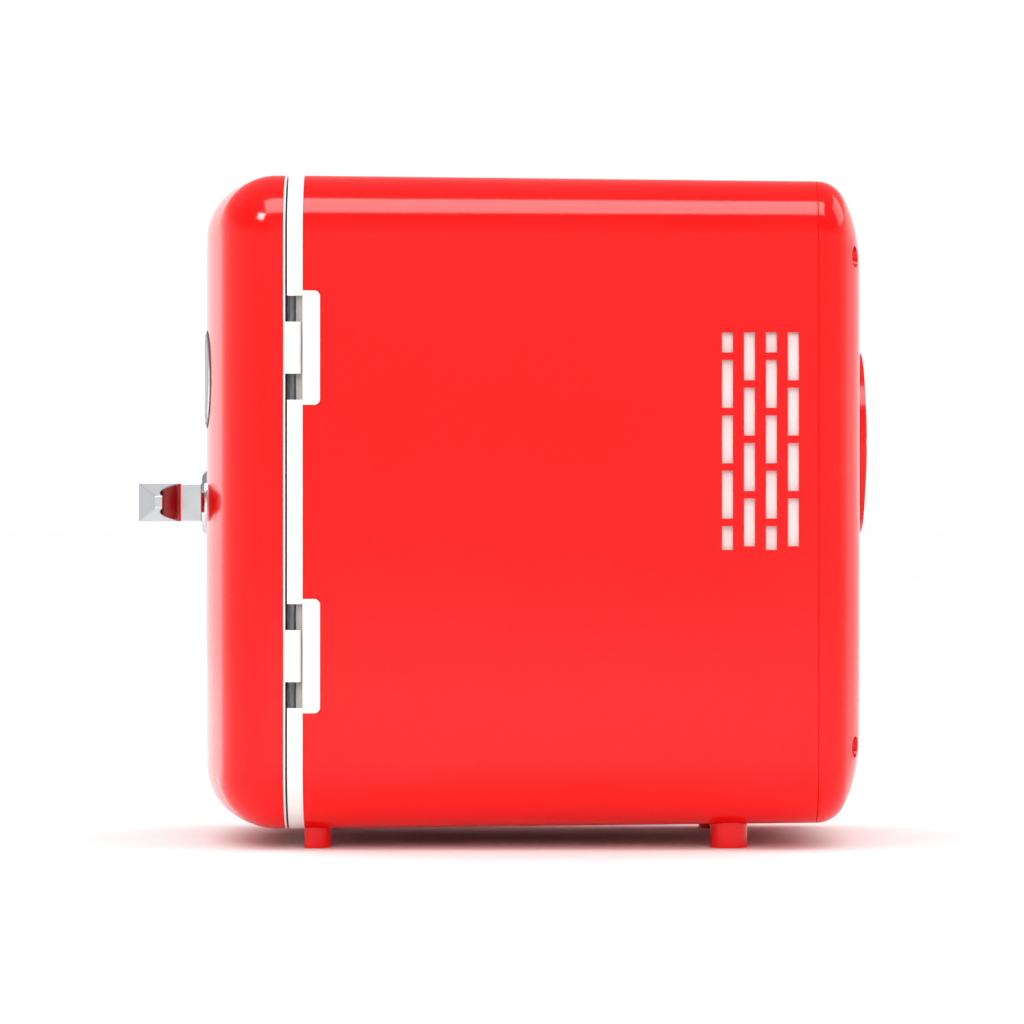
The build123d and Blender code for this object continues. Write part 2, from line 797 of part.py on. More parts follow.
# Vent screens: white dust plates behind each side's slots, butted on the foam
screen_x = half_width - seam_inset - wall - vent_screen_gap
screen_back = vent_first + (vent_columns - 0.5) * vent_pitch[0] + vent_screen_margin
for side, name in ((-1, "vent_screen_left"), (1, "vent_screen_right")):
    near = side * screen_x
    far = side * (screen_x - vent_screen_thickness)
    low_z = vent_top - vent_field_height - vent_screen_margin
    with BuildPart() as vent_screen:
        add(
            block(
                (min(near, far), foam_back, low_z),
                (max(near, far), screen_back, vent_top + vent_screen_margin),
            )
        )
    write(vent_screen.part, name)

# Power board on standoffs behind the foam, below the heat sink
board_y = foam_back + standoff_length
board_low = board_above_floor - board_size[1] / 2
standoff_x = board_size[0] / 2 - standoff_inset
standoff_z = board_size[1] / 2 - standoff_inset
with BuildPart() as power_board:
    with BuildSketch(facing_back(board_y, 0, board_above_floor)):
        RectangleRounded(board_size[0], board_size[1], 2)
    extrude(amount=board_size[2])
write(power_board.part, "power_board")

with BuildPart() as board_standoffs:
    with BuildSketch(facing_back(foam_back, 0, board_above_floor)):
        with GridLocations(2 * standoff_x, 2 * standoff_z, 2, 2):
            RegularPolygon(standoff_radius, 6)
    extrude(amount=standoff_length)
write(board_standoffs.part, "board_standoffs")

with BuildPart() as board_parts:
    with BuildSketch(facing_back(board_y + board_size[2], 0, board_above_floor)):
        with Locations((transformer[0], transformer[1])):
            RectangleRounded(transformer[2], transformer[3], transformer[5])
    extrude(amount=transformer[4])
    with BuildSketch(facing_back(board_y + board_size[2], 0, board_above_floor)):
        with Locations(*cans):
            Circle(can_size[0])
    extrude(amount=can_size[1])
    with BuildSketch(facing_back(board_y + board_size[2], 0, board_above_floor)):
        with Locations(*regulators):
            Rectangle(regulator_size[0], regulator_size[1])
    extrude(amount=regulator_size[2])
write(board_parts.part, "board_parts")

# Mains and low-voltage inlets, in the lower part of the rear cover
with BuildPart() as ac_inlet:
    with BuildSketch(facing_back(back_y - ac_body[2], ac_x, inlet_above_floor)):
        RectangleRounded(ac_body[0], ac_body[1], inlet_radius)
    extrude(amount=ac_body[2])
    with BuildSketch(facing_back(back_y, ac_x, inlet_above_floor)):
        RectangleRounded(
            ac_body[0] + 2 * ac_flange_margin,
            ac_body[1] + 2 * ac_flange_margin,
            inlet_radius + ac_flange_margin / 2,
        )
    extrude(amount=inlet_flange)
    with BuildSketch(facing_back(back_y + inlet_flange, ac_x, inlet_above_floor)):
        SlotOverall(ac_socket[0], ac_socket[1])
    extrude(amount=-ac_socket[2] - inlet_flange, mode=Mode.SUBTRACT)
write(ac_inlet.part, "ac_inlet")

with BuildPart() as ac_inlet_pins:
    with BuildSketch(facing_back(back_y - ac_socket[2], ac_x, inlet_above_floor)):
        with GridLocations(ac_pin_spacing, 1, 2, 1):
            Circle(ac_pin[0])
    extrude(amount=ac_pin[1])
write(ac_inlet_pins.part, "ac_inlet_pins")

with BuildPart() as dc_inlet:
    add(rod(back_y - dc_body[1], back_y, dc_body[0], dc_x, inlet_above_floor))
    add(rod(back_y, back_y + inlet_flange, dc_body[0] + dc_flange_margin, dc_x, inlet_above_floor))
    socket = rod(back_y - dc_socket[1], back_y + inlet_flange + 1, dc_socket[0], dc_x, inlet_above_floor)
    add(socket, mode=Mode.SUBTRACT)
write(dc_inlet.part, "dc_inlet")

with BuildPart() as dc_inlet_pin:
    add(rod(back_y - dc_socket[1], back_y - dc_socket[1] + dc_pin[1], dc_pin[0], dc_x, inlet_above_floor))
write(dc_inlet_pin.part, "dc_inlet_pin")

# Mode switch: a rocker that tips between cooling and warming, level when off
rocker_y = back_y - rocker_axis_depth
with BuildPart() as switch_housing:
    with BuildSketch(facing_back(back_y - switch_body[2], 0, inlet_above_floor)):
        Rectangle(switch_body[0], switch_body[1])
    extrude(amount=switch_body[2])
    with BuildSketch(facing_back(back_y, 0, inlet_above_floor)):
        RectangleRounded(
            switch_body[0] + 2 * switch_flange_margin,
            switch_body[1] + 2 * switch_flange_margin,
            inlet_radius,
        )
    extrude(amount=inlet_flange)
    half = rocker_width / 2 + rocker_clearance
    with BuildSketch(Plane.YZ.offset(-half)):
        with Locations((rocker_y, inlet_above_floor)):
            Circle(rocker_radius + rocker_clearance)
    extrude(amount=2 * half, mode=Mode.SUBTRACT)
write(switch_housing.part, "switch_housing")

with BuildPart() as switch_rocker:
    with BuildSketch(Plane.YZ.offset(-rocker_width / 2)):
        with Locations((rocker_y, inlet_above_floor)):
            Circle(rocker_radius)
        reach = 2 * rocker_radius
        valley = rocker_y + rocker_valley
        slope = reach * tan(radians(rocker_tilt))
        with BuildLine():
            Polyline(
                (valley, inlet_above_floor),
                (valley + slope, inlet_above_floor + reach),
                (valley + reach, inlet_above_floor + reach),
                (valley + reach, inlet_above_floor - reach),
                (valley + slope, inlet_above_floor - reach),
                close=True,
            )
        make_face(mode=Mode.SUBTRACT)
    extrude(amount=rocker_width)
write(switch_rocker.part, "switch_rocker")

# Door shell: crowned skin with a hole for the latch spindle
with BuildPart() as door_shell:
    add(door_outer)
    add(crowned_door(wall), mode=Mode.SUBTRACT)
    add(rod(lever_front, door_back, bush_radius, handle_x, body_middle), mode=Mode.SUBTRACT)
write(door_shell.part, "door_shell")

# Door panel: rim, plug into the shell, hollow pad, seal groove and the two hinge lugs
pad_width = cavity_width - 2 * pad_clearance
pad_height = cavity_height - 2 * pad_clearance
plug_inset = wall + foam_clearance
with BuildPart() as door_panel:
    with BuildSketch(facing_back(door_back)):
        RectangleRounded(body_width, body_height, corner_radius)
    extrude(amount=panel_rim)
    with BuildSketch(facing_front(door_back)):
        RectangleRounded(
            body_width - 2 * plug_inset, body_height - 2 * plug_inset, corner_radius - plug_inset
        )
    extrude(amount=panel_plug)
    with BuildSketch(facing_back(door_back)):
        RectangleRounded(pad_width, pad_height, cavity_radius - pad_clearance)
    extrude(amount=pad_back - door_back)
    fillet(door_panel.faces().sort_by(Axis.Y)[-1].edges(), pad_edge)
    with BuildSketch(facing_back(door_back - panel_plug)):
        RectangleRounded(
            pad_width - 2 * panel_wall,
            pad_height - 2 * panel_wall,
            cavity_radius - pad_clearance - panel_wall,
        )
    extrude(amount=pad_back - panel_wall - door_back + panel_plug, mode=Mode.SUBTRACT)
    add(
        ring_plate(panel_back - gasket_groove, panel_back + 1, gasket_inset, gasket_width),
        mode=Mode.SUBTRACT,
    )
    for level in hinge_levels:
        with BuildSketch(Plane.XY.offset(level - lug_height / 2)):
            with Locations((pivot_x, pivot_y)):
                Circle(lug_radius)
            with Locations((pivot_x - lug_radius, door_back)):
                Rectangle(
                    lug_radius + pivot_inset, pivot_y - door_back, align=(Align.MIN, Align.MIN)
                )
            with Locations((half_width + lug_proud, pivot_y)):
                Rectangle(
                    lug_radius, 4 * lug_radius, align=(Align.MIN, Align.CENTER), mode=Mode.SUBTRACT
                )
            with Locations((pivot_x, door_back)):
                Rectangle(
                    4 * lug_radius, lug_radius, align=(Align.CENTER, Align.MAX), mode=Mode.SUBTRACT
                )
            with Locations((pivot_x, pivot_y)):
                Circle(pin_radius + pin_clearance, mode=Mode.SUBTRACT)
        extrude(amount=lug_height)
    hole = rod(door_back - panel_plug - 1, pad_back + 1, bush_radius, handle_x, body_middle)
    add(hole, mode=Mode.SUBTRACT)
write(door_panel.part, "door_panel")

# Door foam fills the shell and the pad
with BuildPart() as door_foam:
    add(crowned_door(wall + foam_clearance))
    add(
        block(
            (-body_width, door_back - panel_plug, -1),
            (body_width, frame_back, 2 * body_height),
        ),
        mode=Mode.SUBTRACT,
    )
    with BuildSketch(facing_back(door_back - panel_plug - 1)):
        foam_inset = panel_wall + foam_clearance
        RectangleRounded(
            pad_width - 2 * foam_inset,
            pad_height - 2 * foam_inset,
            cavity_radius - pad_clearance - foam_inset,
        )
    extrude(amount=pad_back - panel_wall - door_back + panel_plug + 1)
    add(rod(front_y, pad_back + 1, bush_radius, handle_x, body_middle), mode=Mode.SUBTRACT)
write(door_foam.part, "door_foam")

with BuildPart() as door_seal:
    add(ring_plate(panel_back - gasket_groove, frame_front - seal_gap, gasket_inset, gasket_width))
write(door_seal.part, "door_seal")

# Badge: a blank round plate that follows the door's crown
with BuildPart() as badge:
    add(crowned_door(-badge_thickness))
    add(door_outer, mode=Mode.SUBTRACT)
    disc = rod(lever_front, door_back, badge_radius, badge_x, body_middle + badge_above_middle)
    add(disc, mode=Mode.INTERSECT)
write(badge.part, "badge")

# Escutcheon: a chamfered collar between the crowned door and the lever
with BuildPart() as escutcheon:
    add(rod(escutcheon_y, door_back, escutcheon_radius, handle_x, body_middle))
    chamfer(escutcheon.faces().sort_by(Axis.Y)[0].edges(), escutcheon_chamfer)
    add(door_outer, mode=Mode.SUBTRACT)
    hole = rod(lever_front, door_back, spindle_radius + spindle_clearance, handle_x, body_middle)
    add(hole, mode=Mode.SUBTRACT)
write(escutcheon.part, "escutcheon")

# Spindle bush through the door
with BuildPart() as spindle_bush:
    add(rod(lever_front, door_back, bush_radius, handle_x, body_middle))
    add(door_outer, mode=Mode.INTERSECT)
    add(rod(door_back, pad_back, bush_radius, handle_x, body_middle))
    bore_radius = spindle_radius + spindle_clearance
    add(rod(lever_front, pad_back + 1, bore_radius, handle_x, body_middle), mode=Mode.SUBTRACT)
write(spindle_bush.part, "spindle_bush")

# Lever: a square post and a four-sided blade, hollowed behind, that tapers to the hinge side
tip_x = handle_x + lever_length
tip_front = lever_front + lever_tip_back
tip_back = tip_front + lever_tip[0]
post_half = post_width / 2
root_x = handle_x + post_half
scoop_y = lever_front + lever_root
with BuildPart() as lever:
    with BuildSketch(Plane.XY.offset(body_middle - post_half)):
        with BuildLine():
            outline = Polyline(
                (root_x, scoop_y),
                (root_x, post_end),
                (handle_x - post_half, post_end),
                (handle_x - post_half, lever_front),
                (root_x, lever_front),
                (tip_x, tip_front),
                (tip_x, tip_back),
            )
            lowest = ((root_x + tip_x) / 2, (scoop_y + tip_back) / 2 - scoop_depth)
            ThreePointArc((tip_x, tip_back), lowest, (root_x, scoop_y))
        make_face()
    extrude(amount=post_width)
    scoop_corner = lever.edges().filter_by(Axis.Z).sort_by_distance((root_x, scoop_y, body_middle))
    fillet(scoop_corner[0], scoop_fillet)
    with BuildSketch(facing_front(escutcheon_y)):
        with BuildLine():
            Polyline(
                (handle_x - post_half, -post_half),
                (root_x, -post_half),
                (tip_x, -lever_tip[1] / 2),
                (tip_x, lever_tip[1] / 2),
                (root_x, post_half),
                (handle_x - post_half, post_half),
                close=True,
            )
        make_face()
    extrude(amount=2 * lever_reach, mode=Mode.INTERSECT)
    fillet(lever.edges().filter_by(Axis.Z).group_by(Axis.X)[0].sort_by(Axis.Y)[0], lever_edge)
    fillet(lever.edges().filter_by(Axis.Y).group_by(Axis.X)[-1], post_edge)
    fillet(lever.faces().sort_by(Axis.X)[-1].edges(), lever_edge / 2)
    socket = rod(spindle_front, escutcheon_y, spindle_radius, handle_x, body_middle)
    add(socket, mode=Mode.SUBTRACT)
write(lever.part, "lever")

# Spindle, washer, tongue and nut turn with the lever
with BuildPart() as spindle:
    spindle_end = tongue_back + nut_height + spindle_past_nut
    add(rod(spindle_front, spindle_end, spindle_radius, handle_x, body_middle))
write(spindle.part, "spindle")

with BuildPart() as tongue_washer:
    add(rod(pad_back + turning_gap, tongue_front, washer_radius, handle_x, body_middle))
    add(rod(pad_back, tongue_front, spindle_radius, handle_x, body_middle), mode=Mode.SUBTRACT)
write(tongue_washer.part, "tongue_washer")

with BuildPart() as latch_tongue:
    with BuildSketch(facing_back(tongue_front, handle_x)):
        Circle(washer_radius)
        Rectangle(tongue_width, tongue_length, align=(Align.CENTER, Align.MAX))
        Circle(spindle_radius, mode=Mode.SUBTRACT)
    extrude(amount=tongue_thickness)
write(latch_tongue.part, "latch_tongue")

with BuildPart() as tongue_nut:
    with BuildSketch(facing_back(tongue_back, handle_x)):
        RegularPolygon(nut_width / 2, 6, major_radius=False)
        Circle(spindle_radius, mode=Mode.SUBTRACT)
    extrude(amount=nut_height)
write(tongue_nut.part, "tongue_nut")
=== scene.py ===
import math

import bmesh
import bpy
from mathutils import Matrix, Vector


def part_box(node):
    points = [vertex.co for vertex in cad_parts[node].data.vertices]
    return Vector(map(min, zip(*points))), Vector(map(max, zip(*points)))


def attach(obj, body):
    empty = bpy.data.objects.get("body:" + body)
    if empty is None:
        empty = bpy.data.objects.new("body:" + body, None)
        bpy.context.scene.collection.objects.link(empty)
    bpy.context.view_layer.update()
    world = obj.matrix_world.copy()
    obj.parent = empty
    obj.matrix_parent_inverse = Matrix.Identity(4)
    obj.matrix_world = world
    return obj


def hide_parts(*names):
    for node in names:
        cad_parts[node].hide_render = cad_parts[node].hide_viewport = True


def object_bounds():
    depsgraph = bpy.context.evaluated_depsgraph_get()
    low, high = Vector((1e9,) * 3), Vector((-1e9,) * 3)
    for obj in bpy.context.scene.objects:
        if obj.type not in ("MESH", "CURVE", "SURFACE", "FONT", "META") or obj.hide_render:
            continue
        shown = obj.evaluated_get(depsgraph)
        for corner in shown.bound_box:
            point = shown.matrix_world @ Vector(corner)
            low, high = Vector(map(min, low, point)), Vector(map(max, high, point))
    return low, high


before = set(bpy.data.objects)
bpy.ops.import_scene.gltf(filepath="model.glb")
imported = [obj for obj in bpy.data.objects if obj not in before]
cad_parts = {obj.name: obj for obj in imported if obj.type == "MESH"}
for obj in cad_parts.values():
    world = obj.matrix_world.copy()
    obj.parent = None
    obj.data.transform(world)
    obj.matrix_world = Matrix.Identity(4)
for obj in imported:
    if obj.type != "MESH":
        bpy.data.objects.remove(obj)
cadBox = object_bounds()
mm = 0.001  # everything is in metres, written here as millimetres times mm


# Camera: level, square-on to the hinge side, with a long lens
camera = {
    "lens": 179.9,
    "away": 2.2,
    "along": 5.8 * mm,
    "height": 139.7 * mm,
    "farthest": 50.0,
}


def setCamera():
    data = bpy.data.cameras.new("camera")
    data.lens = camera["lens"]
    data.clip_end = camera["farthest"]
    obj = bpy.data.objects.new("camera", data)
    bpy.context.scene.collection.objects.link(obj)
    obj.location = (camera["away"], camera["along"], camera["height"])
    obj.rotation_euler = (math.radians(90), 0, math.radians(90))
    bpy.context.scene.camera = obj


setCamera()


# Small helpers for colours and nodes
def hexColour(text):  # sRGB hex, turned to linear
    parts = [int(text[i : i + 2], 16) / 255 for i in (1, 3, 5)]
    linear = [p / 12.92 if p <= 0.04045 else ((p + 0.055) / 1.055) ** 2.4 for p in parts]
    return (*linear, 1.0)


def addNode(tree, kind, inputs=None, stops=None, **settings):  # a node, its settings and links
    node = tree.nodes.new("ShaderNode" + kind)
    for name, value in settings.items():
        setattr(node, name, value)
    for name, value in (inputs or {}).items():
        if isinstance(value, tuple) and isinstance(value[0], bpy.types.Node):
            tree.links.new(value[0].outputs[value[1]], node.inputs[name])
        else:
            node.inputs[name].default_value = value
    if stops:
        ramp = node.color_ramp.elements
        while len(ramp) < len(stops):
            ramp.new(0.5)
        for element, (place, colour) in zip(ramp, stops):
            element.position = place
            element.color = hexColour(colour)
    return node


def startMaterial(name, **values):  # Principled shader with its constants, and coordinates
    material = bpy.data.materials.new(name)
    material.use_nodes = True
    tree = material.node_tree
    tree.nodes.clear()
    shader = addNode(tree, "BsdfPrincipled")
    for socket, value in values.items():
        shader.inputs[socket.replace("_", " ")].default_value = value
    addNode(tree, "OutputMaterial", {"Surface": (shader, "BSDF")})
    coords = addNode(tree, "TexCoord")
    return material, tree, shader, coords


def wire(tree, node, output, shader, socket):
    tree.links.new(node.outputs[output], shader.inputs[socket])


def toneAndWear(tree, shader, noise, tones, roughness, wornFrom=0.3, wornTo=0.7):
    # one noise sets both the tone and how worn the surface is
    tone = addNode(tree, "ValToRGB", {"Fac": (noise, "Fac")}, stops=tones)
    wire(tree, tone, "Color", shader, "Base Color")
    worn = addNode(
        tree,
        "MapRange",
        {
            "Value": (noise, "Fac"),
            "From Min": wornFrom,
            "From Max": wornTo,
            "To Min": roughness[0],
            "To Max": roughness[1],
        },
    )
    wire(tree, worn, "Result", shader, "Roughness")


# Materials, each named for its real finish
gloss = {
    "patch": 110 * mm,  # slow drift of tone and polish across a moulding
    "dullest": 1.3,  # roughness of the dullest patch against the sharpest
    "edge": 0.35 * mm,  # every moulded edge is a little round
    "peelBite": 0.05,
    "peelDepth": 0.05 * mm,
}
wearSpread = 0.12  # how much rougher the worn spots of grained plastic and metal are
edgeSamples = 4


def makeMouldedGloss(name, dark, light, rough, peelSize=2.2 * mm):
    # injection-moulded ABS from a polished tool: deep even colour, sharp highlights softened
    # by a faint orange peel of about two millimetres
    material, tree, shader, coords = startMaterial(name, Specular_IOR_Level=0.3)
    place = (coords, "Object")
    drift = addNode(
        tree, "TexNoise", {"Vector": place, "Scale": 1 / gloss["patch"], "Detail": 3.0}
    )
    roughness = (rough, rough * gloss["dullest"])
    toneAndWear(tree, shader, drift, [(0.35, dark), (0.7, light)], roughness)
    peel = addNode(tree, "TexNoise", {"Vector": place, "Scale": 1 / peelSize, "Detail": 2.0})
    edge = addNode(tree, "Bevel", {"Radius": gloss["edge"]}, samples=edgeSamples)
    bump = addNode(
        tree,
        "Bump",
        {
            "Height": (peel, "Fac"),
            "Strength": gloss["peelBite"],
            "Distance": gloss["peelDepth"],
            "Normal": (edge, "Normal"),
        },
    )
    wire(tree, bump, "Normal", shader, "Normal")
    return material


def makeTexturedPlastic(name, dark, light, rough, grain=0.7 * mm, depth=0.04 * mm):
    # spark-eroded moulded plastic: fine matt grain under one millimetre
    material, tree, shader, coords = startMaterial(name)
    place = (coords, "Object")
    grit = addNode(tree, "TexNoise", {"Vector": place, "Scale": 1 / grain, "Detail": 4.0})
    roughness = (rough, rough + wearSpread)
    toneAndWear(tree, shader, grit, [(0.3, dark), (0.7, light)], roughness)
    bump = addNode(tree, "Bump", {"Height": (grit, "Fac"), "Strength": 0.4, "Distance": depth})
    wire(tree, bump, "Normal", shader, "Normal")
    return material


def makeBrushedMetal(name, dark, light, rough, grain):
    # drawn or ground metal: fine lines along one axis, darker where the lines lie close.
    # grain is the lines' size in millimetres along X, Y and Z
    material, tree, shader, coords = startMaterial(name, Metallic=1.0)
    scale = tuple(1 / (size * mm) for size in grain)
    turn = addNode(tree, "Mapping", {"Vector": (coords, "Object"), "Scale": scale})
    lines = addNode(tree, "TexNoise", {"Vector": (turn, "Vector"), "Scale": 1.0, "Detail": 5.0})
    roughness = (rough, rough + wearSpread)
    toneAndWear(tree, shader, lines, [(0.3, dark), (0.7, light)], roughness)
    bump = addNode(
        tree, "Bump", {"Height": (lines, "Fac"), "Strength": 0.25, "Distance": 0.02 * mm}
    )
    wire(tree, bump, "Normal", shader, "Normal")
    return material


def makeChromePlate(name):
    # bright chrome over a polished casting: mirror-like, with a breath of haze from handling
    # in patches of about sixteen millimetres, and buffed edges that are a little round
    material, tree, shader, coords = startMaterial(
        name, Metallic=1.0, Specular_Tint=(0.55, 0.56, 0.58, 1.0)
    )
    haze = addNode(
        tree, "TexNoise", {"Vector": (coords, "Object"), "Scale": 1 / (16 * mm), "Detail": 4.0}
    )
    tones = [(0.3, "#D6D8DA"), (0.7, "#DEE0E2")]
    toneAndWear(tree, shader, haze, tones, (0.05, 0.12), wornFrom=0.35, wornTo=0.75)
    edge = addNode(tree, "Bevel", {"Radius": 0.5 * mm}, samples=edgeSamples)
    wire(tree, edge, "Normal", shader, "Normal")
    return material


def makeFoamBeads(name):
    # expanded polystyrene: pressed beads of about four millimetres
    material, tree, shader, coords = startMaterial(name, Roughness=0.85)
    beads = addNode(tree, "TexVoronoi", {"Vector": (coords, "Object"), "Scale": 1 / (4 * mm)})
    tone = addNode(
        tree, "ValToRGB", {"Fac": (beads, "Distance")}, stops=[(0.1, "#F6F6F3"), (0.8, "#DAD9D4")]
    )
    wire(tree, tone, "Color", shader, "Base Color")
    bump = addNode(
        tree,
        "Bump",
        {"Height": (beads, "Distance"), "Strength": 0.5, "Distance": 0.3 * mm},
        invert=True,  # the beads stand up between their seams
    )
    wire(tree, bump, "Normal", shader, "Normal")
    return material


def makeBoardMask(name):
    # green solder mask: copper tracks show through as paler lines on a grid of 2.5 millimetres
    material, tree, shader, coords = startMaterial(name, Roughness=0.35)
    turn = addNode(
        tree, "Mapping", {"Vector": (coords, "Object"), "Rotation": (math.radians(90), 0, 0)}
    )
    tracks = addNode(
        tree,
        "TexBrick",
        {
            "Vector": (turn, "Vector"),
            "Scale": 1 / (10 * mm),  # a brick is a quarter as high as this
            "Mortar Size": 0.03,
            "Color1": hexColour("#0E4A26"),
            "Color2": hexColour("#12552C"),
            "Mortar": hexColour("#2E7C45"),
        },
    )
    wire(tree, tracks, "Color", shader, "Base Color")
    return material


def makeSealRubber(name):
    # soft extruded seal: satin grey with a faint bloom in patches of about twelve millimetres
    material, tree, shader, coords = startMaterial(name, Roughness=0.55)
    bloom = addNode(
        tree, "TexNoise", {"Vector": (coords, "Object"), "Scale": 1 / (12.5 * mm), "Detail": 5.0}
    )
    tone = addNode(
        tree, "ValToRGB", {"Fac": (bloom, "Fac")}, stops=[(0.3, "#4B4C4E"), (0.75, "#66686A")]
    )
    wire(tree, tone, "Color", shader, "Base Color")
    bump = addNode(
        tree, "Bump", {"Height": (bloom, "Fac"), "Strength": 0.2, "Distance": 0.05 * mm}
    )
    wire(tree, bump, "Normal", shader, "Normal")
    return material


# Glossy mouldings: name, darker and lighter tone, roughness, size of the orange peel
redShell = makeMouldedGloss("moulded_red_abs", "#E90909", "#EE0C0C", 0.10)
redTrim = makeMouldedGloss("moulded_red_abs_trim", "#DF0808", "#E60B0B", 0.14, 1.5 * mm)
whiteShell = makeMouldedGloss("moulded_white_abs", "#E6E6E3", "#ECECE9", 0.22, 1.8 * mm)
linerSkin = makeMouldedGloss("vacuum_formed_white_hips", "#DDE0E0", "#E5E7E7", 0.30, 3.0 * mm)

# Metals: name, darker and lighter tone, roughness, size of the lines
chromePlate = makeChromePlate("bright_chrome_plate")
groundSteel = makeBrushedMetal("ground_steel_pin", "#56585A", "#76797C", 0.30, (1.1, 1.1, 8.0))
zincSteel = makeBrushedMetal("zinc_plated_steel", "#9A9C9E", "#BFC1C2", 0.30, (2.0, 2.0, 2.0))
rolledAluminium = makeBrushedMetal(
    "brushed_aluminium_plate", "#C4C6C8", "#DCDEE0", 0.26, (25.0, 1.1, 0.7)
)
drawnAluminium = makeBrushedMetal(
    "extruded_aluminium", "#A6A8AA", "#C0C2C4", 0.34, (16.0, 1.4, 0.8)
)
brassContact = makeBrushedMetal(
    "nickel_brass_contact", "#A98E55", "#CBB27A", 0.22, (1.25, 11.0, 1.25)
)

# Grained and matt pieces: name, darker and lighter tone, roughness, grain and its depth
whiteScreen = makeTexturedPlastic("white_nonwoven_filter", "#F4F4F2", "#FBFBFA", 0.70)
fanBlack = makeTexturedPlastic("glass_filled_black_pbt", "#121213", "#1E1E20", 0.42)
inletBlack = makeTexturedPlastic("black_nylon", "#17171A", "#242427", 0.36)
rockerBlack = makeTexturedPlastic(
    "polished_black_rocker", "#0E0E10", "#19191B", 0.18, 1.4 * mm, 0.01 * mm
)
partSleeve = makeTexturedPlastic("sleeved_board_parts", "#15171C", "#2B2E38", 0.40, 3.0 * mm)
moduleCeramic = makeTexturedPlastic("alumina_ceramic", "#E5E3DC", "#F1EFE9", 0.50)
foamBeads = makeFoamBeads("expanded_polystyrene")
sealRubber = makeSealRubber("extruded_tpe_seal")
boardMask = makeBoardMask("green_solder_mask")

finishes = {
    "cabinet_shell": redShell,
    "rear_cover": redShell,
    "door_shell": redShell,
    "fan_guard": redTrim,
    "feet": redTrim,
    "cover_screws": zincSteel,
    "front_frame": whiteShell,
    "hinge_leaves": whiteShell,
    "door_panel": whiteShell,
    "vent_screen_left": whiteScreen,
    "vent_screen_right": whiteScreen,
    "hinge_pins": groundSteel,
    "seal_band": zincSteel,
    "strike_plate": zincSteel,
    "liner": linerSkin,
    "shelf_rails": linerSkin,
    "shelf": linerSkin,
    "insulation": foamBeads,
    "door_foam": foamBeads,
    "cold_plate": rolledAluminium,
    "cold_block": drawnAluminium,
    "heat_sink": drawnAluminium,
    "cooling_module": moduleCeramic,
    "sink_screws": zincSteel,
    "fan_screws": zincSteel,
    "fan_shaft": groundSteel,
    "fan_frame": fanBlack,
    "fan_rotor": fanBlack,
    "power_board": boardMask,
    "board_standoffs": brassContact,
    "board_parts": partSleeve,
    "ac_inlet": inletBlack,
    "ac_inlet_pins": brassContact,
    "dc_inlet": inletBlack,
    "dc_inlet_pin": brassContact,
    "switch_housing": inletBlack,
    "switch_rocker": rockerBlack,
    "door_seal": sealRubber,
    "badge": chromePlate,
    "escutcheon": chromePlate,
    "spindle_bush": whiteShell,
    "lever": chromePlate,
    "spindle": groundSteel,
    "tongue_washer": zincSteel,
    "latch_tongue": zincSteel,
    "tongue_nut": zincSteel,
}


def finishNodes():
    for name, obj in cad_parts.items():
        obj.data.materials.clear()
        obj.data.materials.append(finishes[name])


finishNodes()
print("materials set on the CAD nodes")


# Pieces that take the place of plain CAD solids, or add what they leave out
shading = {"merge": 0.002 * mm, "sharpFrom": 35}


def newPiece(name, bm, material, body, slot, *replaced):
    bmesh.ops.remove_doubles(bm, verts=bm.verts, dist=shading["merge"])
    bmesh.ops.recalc_face_normals(bm, faces=bm.faces)
    mesh = bpy.data.meshes.new(name)
    bm.to_mesh(mesh)
    bm.free()
    mesh.shade_smooth()
    mesh.set_sharp_from_angle(angle=math.radians(shading["sharpFrom"]))
    mesh.materials.append(material)
    piece = bpy.data.objects.new(name, mesh)
    bpy.context.scene.collection.objects.link(piece)
    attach(piece, body)
    if replaced:
        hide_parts(*replaced)


def nodeBox(name):  # lowest and highest corner, and the point halfway
    low, high = (Vector(corner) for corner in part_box(name))
    return low, high, (low + high) / 2


def spinProfile(profile, steps):  # (radius, height) points turned about Z
    bm = bmesh.new()
    verts = [bm.verts.new((r * mm, 0, h * mm)) for r, h in profile]
    edges = [bm.edges.new(pair) for pair in zip(verts, verts[1:])]
    bmesh.ops.spin(
        bm,
        geom=verts + edges,
        cent=(0, 0, 0),
        axis=(0, 0, 1),
        angle=math.radians(360),
        steps=steps,
        use_merge=True,
    )
    return bm


# Badge: a blank round plate with a raised bead, bent to the door's crown, with a thin dark ring
# round its foot that is painted shade, standing in for the shadow line along the badge's edge.
# Profiles are (radius, height above the door) in millimetres, from the middle outwards
badge = {
    "crown": 300 * mm,  # radius of the door's bow
    "steps": 96,
    "plate": [
        (0, 0.62),
        (14.8, 0.60),
        (15.4, 0.34),
        (16.2, 0.34),
        (16.9, 0.72),
        (17.8, 0.94),
        (18.8, 0.90),
        (19.5, 0.62),
        (19.8, 0.1),
        (19.8, -0.3),
    ],
    # the dark ring is painted shade: a black band round the plate's foot in place of the shadow
    # along its edge
    "shadow_ring": [(19.7, -0.3), (19.7, 0.22), (20.0, 0.34), (20.5, 0.26), (20.7, 0.05), (20.7, -0.3)],
}


def makeBadge():
    middle = nodeBox("badge")[2]
    doorFront = nodeBox("door_shell")[0].y
    upright = Matrix.Rotation(math.radians(90), 3, "X")
    for name, profile, material, slot, replaced in (
        ("badge_plate", badge["plate"], chromePlate, "chrome", ["badge"]),
        # black nylon ring: painted shade for the shadow line along the badge's edge
        ("badge_shadow_ring", badge["shadow_ring"], inletBlack, "parts_dark", []),
    ):
        bm = spinProfile(profile, badge["steps"])
        bmesh.ops.rotate(bm, verts=bm.verts, cent=(0, 0, 0), matrix=upright)
        bmesh.ops.translate(bm, verts=bm.verts, vec=(middle.x, doorFront, middle.z))
        for vert in bm.verts:  # follow the crown, which is an arc about a vertical axis
            vert.co.y += badge["crown"] - math.sqrt(badge["crown"] ** 2 - vert.co.x**2)
        newPiece(name, bm, material, "door", slot, *replaced)


makeBadge()
print("badge made")


